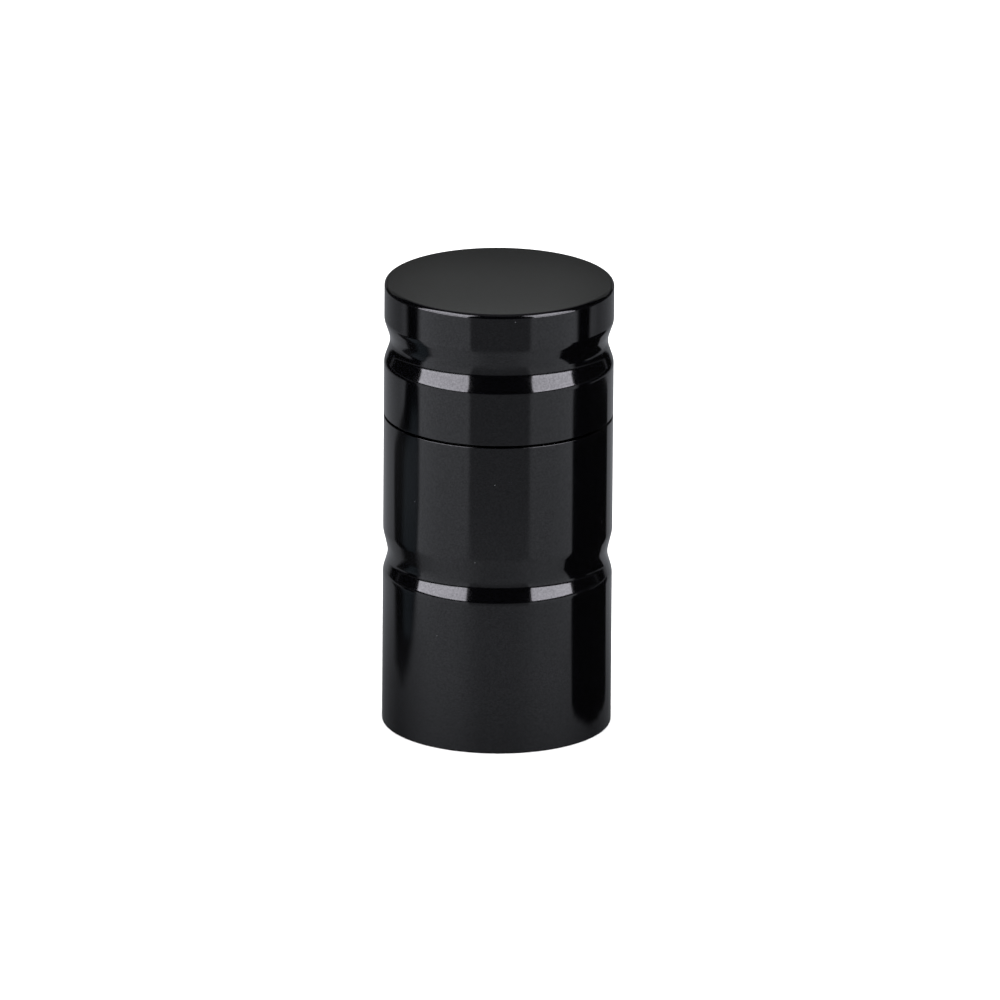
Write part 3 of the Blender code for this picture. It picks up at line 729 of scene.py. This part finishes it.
cap = {
    "floor": 2.6, "wall": 2.2, "threadDepth": 0.35,
    "slotLength": 20, "slotWidth": 2.2, "slotDepth": 1.3, "slotRound": 1.05,
}
dish = capRadius - cap["wall"]
baseCap = addPiece("baseCap", spin([
    (0, capFace + cap["floor"], 0),
    (dish, capFace + cap["floor"], 1.2),
    (dish, capTop, 0.3),
    (capRadius, capTop, 0.25),
    (capRadius, capFace, 0.35),
    (0, capFace, 0),
], facets["threaded"], threads=[(capRadius, capTop - 0.5, capFace + 0.8, cap["threadDepth"])]),
    anodisedBlack, "base", ["base_cap"])
slotTool = bmesh.new()
bmesh.ops.create_cube(slotTool, size=1, matrix=Matrix.Translation((0, 0, capFace * mm)) @ Matrix.Diagonal(
    (cap["slotLength"] * mm, cap["slotWidth"] * mm, 2 * cap["slotDepth"] * mm, 1)))
ends = [e for e in slotTool.edges if abs((e.verts[0].co - e.verts[1].co).normalized().z) > 0.9]
bmesh.ops.bevel(slotTool, geom=ends, offset=cap["slotRound"] * mm, segments=8, affect="EDGES", profile=0.5)
cut(baseCap, slotTool)

sealSection = (sealTop - sealFoot) / 2
sealRadius = (threadBore + catchBore) / 2
sealHeight = (sealTop + sealFoot) / 2
seal = []
for i in range(20):
    turn = math.pi / 2 - 2 * math.pi * i / 20
    seal.append((sealRadius + sealSection * math.cos(turn), sealHeight + sealSection * math.sin(turn), 0))
addPiece("baseSeal", spin(seal, facets["ring"]), nitrile, "base_seal", ["base_o_ring"], 60)


scraper = {
    "endBack": 0.6, "sideBack": 0.8,  # mm from the blade's corners to the box that holds it
    "round": 0.3,  # share of a side that each corner's curve takes
    "edge": 0.15,  # mm
}


def scraperBlade():
    # a rounded three-cornered blade, eased all round its edge
    low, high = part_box("scraper")
    nose, side = high.x - scraper["endBack"] * mm, high.y - scraper["sideBack"] * mm
    bm = bmesh.new()
    outline = []
    corners = [Vector((nose, 0)), Vector((-nose, side)), Vector((-nose, -side))]
    for i, corner in enumerate(corners):
        before, after = corners[i - 1], corners[(i + 1) % 3]
        start, end = corner.lerp(before, scraper["round"]), corner.lerp(after, scraper["round"])
        for step in range(13):
            t = step / 12
            outline.append(start.lerp(corner, t).lerp(corner.lerp(end, t), t))
    face = bm.faces.new([bm.verts.new((p.x, p.y, low.z)) for p in outline])
    made = bmesh.ops.extrude_face_region(bm, geom=[face])
    top = [v for v in made["geom"] if isinstance(v, bmesh.types.BMVert)]
    bmesh.ops.translate(bm, verts=top, vec=(0, 0, high.z - low.z))
    rims = [e for e in bm.edges if abs(e.verts[0].co.z - e.verts[1].co.z) < 1e-7]
    bmesh.ops.bevel(bm, geom=rims, offset=scraper["edge"] * mm, segments=2, affect="EDGES", profile=0.5)
    bmesh.ops.recalc_face_normals(bm, faces=bm.faces)
    return bm


addPiece("scraperBlade", scraperBlade(), stainlessSteel, "base", ["scraper"])
print("base closed")


# studio: white paper to stand on, a light tent, and soft boxes and glowing sheets that only reflections see, one of
# them with the paper's light and shade painted in

studio = {
    "tent": 2.1,  # brightness of the tent's cloth
    "dark": 0.012,  # the unlit part of the room, as a shiny surface mirrors it
    "panelRadius": 1500,  # mm
    "floorHalf": 3,  # m
    "coolWhite": "#f4f7ff",
    "violetWhite": "#f7f5ff",
    "paleBlue": "#d3edff",
}
panels = {
    # azimuth: degrees to the right of the camera; edge: its softness in degrees; rows: (degrees above the floor,
    # brightness). A dark gap parts each soft box into a low and a high one, so that the lid's top doesn't glare
    "softBoxLeft": {
        "azimuth": (-86, -30.5), "edge": 0.6,
        "rows": [(5, 8.6), (13, 8.4), (14.6, 8.2), (15.2, 0.15), (22, 0.15), (22.6, 7.4), (68, 7.2)],
    },
    "softBoxRight": {
        "azimuth": (34.3, 80), "edge": 0.6,
        "rows": [(5, 8.6), (13, 8.2), (14.6, 8.0), (15.2, 0.15), (22, 0.15), (22.6, 7.1), (68, 7.0)],
    },
    "rearSheet": {"azimuth": (146, 214), "edge": 8, "rows": [(-2, 0.3), (60, 0.3)]},
    "overhead": {"azimuth": (-180, 180), "edge": 12, "rows": [(62, 0.25), (90, 0.25)]},
}
paper = {
    # painted glow of the paper as the wall mirrors it, by distance from the foot of the wall, in mm: lit, with the
    # object's own shadow painted in towards the foot; painted shade before the camera; and painted shadow behind
    "lit": [
        (0, 0.5), (8, 0.54), (19, 0.61), (41, 0.71), (75, 0.77), (138, 0.83), (200, 0.93), (900, 0.95),
    ],
    "shade": [
        (0, 0.36), (8, 0.37), (30, 0.44), (60, 0.48), (80, 0.46), (138, 0.37), (200, 0.32), (900, 0.28),
    ],
    "behind": [
        (0, 0.12), (30, 0.17), (60, 0.26), (75, 0.32), (138, 0.36), (200, 0.36), (225, 0.25), (900, 0.25),
    ],
    "shadeEdge": (29, 32),  # degrees to the left and to the right
    "shadeSoft": (2, 16),  # degrees: far off, and how much more at the foot
    "softReach": (60, 135),  # mm, over which the shade's edge sharpens
    "farReach": (40, 120),  # mm, over which the sides grow lighter
    "sideLight": 0.12,  # how much lighter
    "sideEdge": (50, 84),  # degrees
    "behindEdge": (60, 122),  # degrees, where the front gives way to the rear
    "behindShift": 26,  # degrees that the first of these moves back far off
    "rightShare": 0.87,
}
paintedDarkPatches = {
    # dark patches painted into the paper's glow, darkening its reflection: (distance in mm, from and to in degrees
    # to the right of the camera, softness in degrees, strength)
    "right": [(9, 108, 112, 8, 1), (13, 96, 132, 6, 1), (17, 86, 142, 3, 1), (24, 82, 144, 1, 1),
              (60, 80.8, 143, 0.5, 1), (200, 80.2, 142, 0.5, 1), (216, 83, 122, 1, 1), (226, 86, 103, 2, 1),
              (262, 85, 106, 4, 1), (300, 84, 150, 4, 1), (900, 84, 176, 4, 1)],
    "left": [(28, -112, -110, 7, 0.5), (36, -118, -105, 8, 0.7), (42, -124, -100, 8, 0.84),
             (58, -125, -94, 6, 0.93), (75, -126, -91, 5, 0.98), (100, -127, -89, 3, 0.96),
             (138, -129, -86.5, 2, 0.88), (165, -129, -86.5, 2, 0.88), (180, -117, -87, 2, 1),
             (191, -110, -87, 2, 1), (222, -106, -88, 4, 1), (262, -108, -88, 4, 1),
             (300, -150, -87, 4, 1), (900, -176, -87, 4, 1)],
    # pale blue painted light, added in a streak inside the left patch
    "streak": [(60, -108, -96, 5, 0.13), (120, -111, -88, 5, 0.13), (165, -109, -88, 5, 0.14),
               (180, -98, -88, 4, 0.18), (190, -98, -90, 4, 0.2)],
    "glow": 0.008,  # what a painted dark patch still gives off
}


def stageMesh(name, bm, material, **visibility):
    mesh = bpy.data.meshes.new(name)
    bm.to_mesh(mesh)
    bm.free()
    mesh.materials.append(material)
    obj = bpy.data.objects.new(name, mesh)
    bpy.context.scene.collection.objects.link(obj)
    for kind, seen in visibility.items():
        setattr(obj, "visible_" + kind, seen)


def lightTent():
    world = bpy.data.worlds.new("lightTent")
    bpy.context.scene.world = world
    world.use_nodes = True
    tree = world.node_tree
    tree.nodes.clear()
    path = addNode(tree, "ShaderNodeLightPath")
    tent = addNode(tree, "ShaderNodeBackground", {}, {"Color": [1, 1, 1, 1], "Strength": studio["tent"]})
    dark = addNode(tree, "ShaderNodeBackground", {}, {"Color": [1, 1, 1, 1], "Strength": studio["dark"]})
    mix = addNode(tree, "ShaderNodeMixShader", {}, {0: path.outputs["Is Glossy Ray"]})
    tree.links.new(tent.outputs[0], mix.inputs[1])
    tree.links.new(dark.outputs[0], mix.inputs[2])
    addNode(tree, "ShaderNodeOutputWorld", {}, {"Surface": mix.outputs[0]})


def paperFloor():
    material, tree, shader, place = newMaterial("whitePaper", Roughness=0.9, IOR=1.45)
    fibre = addNode(tree, "ShaderNodeTexNoise", {}, {"Vector": place, "Scale": perMetre(3), "Detail": 4.0})
    tint = addNode(tree, "ShaderNodeMix", {"data_type": "RGBA"}, {
        "Factor": fibre.outputs["Fac"], "A": linear("#f6f6f5"), "B": linear("#fbfbfb"),
    })
    tree.links.new(tint.outputs["Result"], shader.inputs["Base Color"])
    bm = bmesh.new()
    bmesh.ops.create_grid(bm, x_segments=1, y_segments=1, size=studio["floorHalf"])
    stageMesh("floor", bm, material, glossy=False)


def glowMaterial():
    material = bpy.data.materials.new("cardGlow")
    material.use_nodes = True
    tree = material.node_tree
    tree.nodes.clear()
    glow = addNode(tree, "ShaderNodeAttribute", {"attribute_name": "glow"})
    light = addNode(tree, "ShaderNodeEmission", {}, {"Color": glow.outputs["Color"], "Strength": 1.0})
    addNode(tree, "ShaderNodeOutputMaterial", {}, {"Surface": light.outputs[0]})
    return material


def smooth(low, high, value):
    t = min(1, max(0, (value - low) / (high - low)))
    return t * t * (3 - 2 * t)


def lookUp(rows, at):
    for (low, *first), (high, *second) in zip(rows, rows[1:]):
        if at <= high:
            t = max(0, (at - low) / (high - low))
            return [a + (b - a) * t for a, b in zip(first, second)]
    return rows[-1][1:]


def inside(rows, azimuth, distance):
    if distance < rows[0][0] or distance > rows[-1][0]:
        return 0
    low, high, edge, strength = lookUp(rows, distance)
    return strength * smooth(low - edge, low + edge, azimuth) * (1 - smooth(high - edge, high + edge, azimuth))


# painted light and shade of the paper, as the wall mirrors it, at an azimuth and a distance
def paperGlow(azimuth, distance):
    glow = lookUp(paper["lit"], distance)[0]
    if azimuth > 0:
        glow *= paper["rightShare"]
    shade = lookUp(paper["shade"], distance)[0]
    soft = paper["shadeSoft"][0] + paper["shadeSoft"][1] * (1 - smooth(*paper["softReach"], distance))
    edge = paper["shadeEdge"][azimuth > 0]
    glow += (shade - glow) * (1 - smooth(edge - soft, edge + soft, abs(azimuth)))
    far = smooth(*paper["farReach"], distance)
    glow *= 1 + paper["sideLight"] * far * smooth(*paper["sideEdge"], abs(azimuth))
    start, end = paper["behindEdge"]
    behind = smooth(start + paper["behindShift"] * far, end, abs(azimuth))
    glow += (lookUp(paper["behind"], distance)[0] - glow) * behind
    color = [glow * c for c in linear(studio["coolWhite"])[:3]]
    dark = max(inside(paintedDarkPatches["left"], azimuth, distance), inside(paintedDarkPatches["right"], azimuth, distance))
    color = [c + (paintedDarkPatches["glow"] - c) * dark for c in color]
    streak = inside(paintedDarkPatches["streak"], azimuth, distance)
    return [c + streak * b for c, b in zip(color, linear(studio["paleBlue"]))] + [1]


def glowGrid(points, glows, closed=False):
    bm = bmesh.new()
    layer = bm.verts.layers.float_color.new("glow")
    rows = []
    for pointRow, glowRow in zip(points, glows):
        row = []
        for point, glow in zip(pointRow, glowRow):
            vert = bm.verts.new(point)
            vert[layer] = glow
            row.append(vert)
        rows.append(row)
    for first, second in zip(rows, rows[1:]):
        for i in range(len(first) - (not closed)):
            j = (i + 1) % len(first)
            bm.faces.new((first[i], second[i], second[j], first[j]))
    return bm


def addCard(name, bm):
    stageMesh(
        name, bm, cardGlow, camera=False, diffuse=False, shadow=False, transmission=False, volume_scatter=False,
    )


# a glowing sheet just under the paper that only reflections see: it paints the paper's light and shade, and the
# object's shadow on it, as the wall mirrors them
def paintedPaperReflection():
    # each point lies where a level ray, turned by the wall, comes down at this distance from the wall
    distances = [0.5] + [3 * i for i in range(1, 80)] + [260, 300, 400, 600, 900, 1500]
    points, glows = [], []
    for distance in distances:
        pointRow, glowRow = [], []
        for i in range(361):
            azimuth = -180 + i
            turn, half = math.radians(azimuth), math.radians(azimuth / 2)
            x = outerRadius * math.sin(half) + distance * math.sin(turn)
            y = -outerRadius * math.cos(half) - distance * math.cos(turn)
            pointRow.append(Vector((x, y, -0.5)) * mm)
            glowRow.append(paperGlow(azimuth, distance))
        points.append(pointRow)
        glows.append(glowRow)
    addCard("paintedPaperReflection", glowGrid(points, glows))


def farPanel(name):
    # a part of a sphere about the object, whose edges fade out
    panel = panels[name]
    (start, end), rows, edge = panel["azimuth"], panel["rows"], panel["edge"]
    low, high = rows[0][0], rows[-1][0]
    white = linear(studio["violetWhite"])[:3]
    points, glows = [], []
    for row in range(181):
        elevation = low + (high - low) * row / 180
        upperFade = 1 if high == 90 else smooth(0, 1, (high - elevation) / edge)
        fade = smooth(0, 1, (elevation - low) / edge) * upperFade
        pointRow, glowRow = [], []
        for i in range(121):
            azimuth = start + (end - start) * i / 120
            turn, rise = math.radians(azimuth), math.radians(elevation)
            away = Vector((math.sin(turn) * math.cos(rise), -math.cos(turn) * math.cos(rise), math.sin(rise)))
            pointRow.append(away * studio["panelRadius"] * mm)
            across = 1 if end - start == 360 else smooth(0, 1, min(azimuth - start, end - azimuth) / edge)
            strength = lookUp(rows, elevation)[0] * fade * across
            glowRow.append([strength * c for c in white] + [1])
        points.append(pointRow)
        glows.append(glowRow)
    addCard(name, glowGrid(points, glows))


strips = {
    # close to the lid, to light the lower side of its groove across the soft boxes' dark gap
    "radius": 100,  # mm
    "rows": [(80, 8.2), (86, 7.7), (98.5, 7.3)],  # (height in mm, brightness)
    "edge": 0.6,  # degrees
    "stripLeft": (-78.9, -27.7),  # degrees to the right of the camera
    "stripRight": (31.1, 73.2),
}


def nearStrip(name):
    start, end = strips[name]
    white = linear(studio["violetWhite"])[:3]
    points, glows = [], []
    for z, brightness in strips["rows"]:
        rise = Vector((0, 0, z * mm))
        pointRow, glowRow = [], []
        for i in range(241):
            azimuth = start + (end - start) * i / 240
            turn = math.radians(azimuth)
            pointRow.append(Vector((math.sin(turn), -math.cos(turn), 0)) * strips["radius"] * mm + rise)
            across = smooth(0, 1, min(azimuth - start, end - azimuth) / strips["edge"])
            glowRow.append([brightness * across * c for c in white] + [1])
        points.append(pointRow)
        glows.append(glowRow)
    addCard(name, glowGrid(points, glows))


backCard = {
    "behind": 120, "halfWidth": 160, "low": 96, "high": 200,  # mm
    # (height in mm, brightness)
    "rows": [(96, 0.08), (109, 0.1), (112.4, 0.13), (114.6, 0.155), (115.7, 0.178), (116.8, 0.192), (118, 0.208),
             (119, 0.213), (122.3, 0.226), (123.4, 0.24), (124.3, 0.26), (126, 0.29), (200, 0.25)],
    "sideLoss": 0.25,  # how much darker its two sides are
    "sideEdge": (11, 21),  # mm from its middle, over which they darken
    "tint": (0.985, 1.01, 1),
}


def nearBackCard():
    # a dim glowing card that only reflections see, its brightness painted row by row and darker at its sides: it
    # paints the shading of the lid's flat top from its rear edge to its front one
    points, glows = [], []
    for row in range(53):
        z = backCard["low"] + (backCard["high"] - backCard["low"]) * row / 52
        glow = lookUp(backCard["rows"], z)[0]
        pointRow, glowRow = [], []
        for i in range(65):
            x = -backCard["halfWidth"] + 2 * backCard["halfWidth"] * i / 64
            pointRow.append(Vector((x, backCard["behind"], z)) * mm)
            strength = glow * (1 - backCard["sideLoss"] * smooth(*backCard["sideEdge"], abs(x)))
            glowRow.append([strength * share for share in backCard["tint"]] + [1])
        points.append(pointRow)
        glows.append(glowRow)
    addCard("backCard", glowGrid(points, glows))


view = {
    "elevation": 18.0, "roll": 0.42,  # degrees
    "distance": 4080, "lens": 843.1, "sensor": 36, "right": 0.374, "down": 0.047,  # mm
    "clipEnd": 20,  # m
}


def addCamera():
    data = bpy.data.cameras.new("camera")
    data.sensor_width = view["sensor"]
    data.lens = view["lens"]
    data.clip_end = view["clipEnd"]
    camera = bpy.data.objects.new("camera", data)
    bpy.context.scene.collection.objects.link(camera)
    elevation = math.radians(view["elevation"])
    back = Vector((0, -math.cos(elevation), math.sin(elevation)))
    up = Vector((0, math.sin(elevation), math.cos(elevation)))
    aim = Vector((view["right"] * mm, 0, topFace / 2 * mm)) - up * view["down"] * mm
    camera.location = aim + back * view["distance"] * mm
    turn = back.to_track_quat("Z", "Y").to_matrix() @ Matrix.Rotation(math.radians(view["roll"]), 3, "Z")
    camera.rotation_euler = turn.to_euler()
    bpy.context.scene.camera = camera


cardGlow = glowMaterial()
lightTent()
paperFloor()
paintedPaperReflection()
nearBackCard()
for name in panels:
    farPanel(name)
for name in ("stripLeft", "stripRight"):
    nearStrip(name)
addCamera()
bpy.context.scene.view_settings.view_transform = "Standard"
print("studio set")
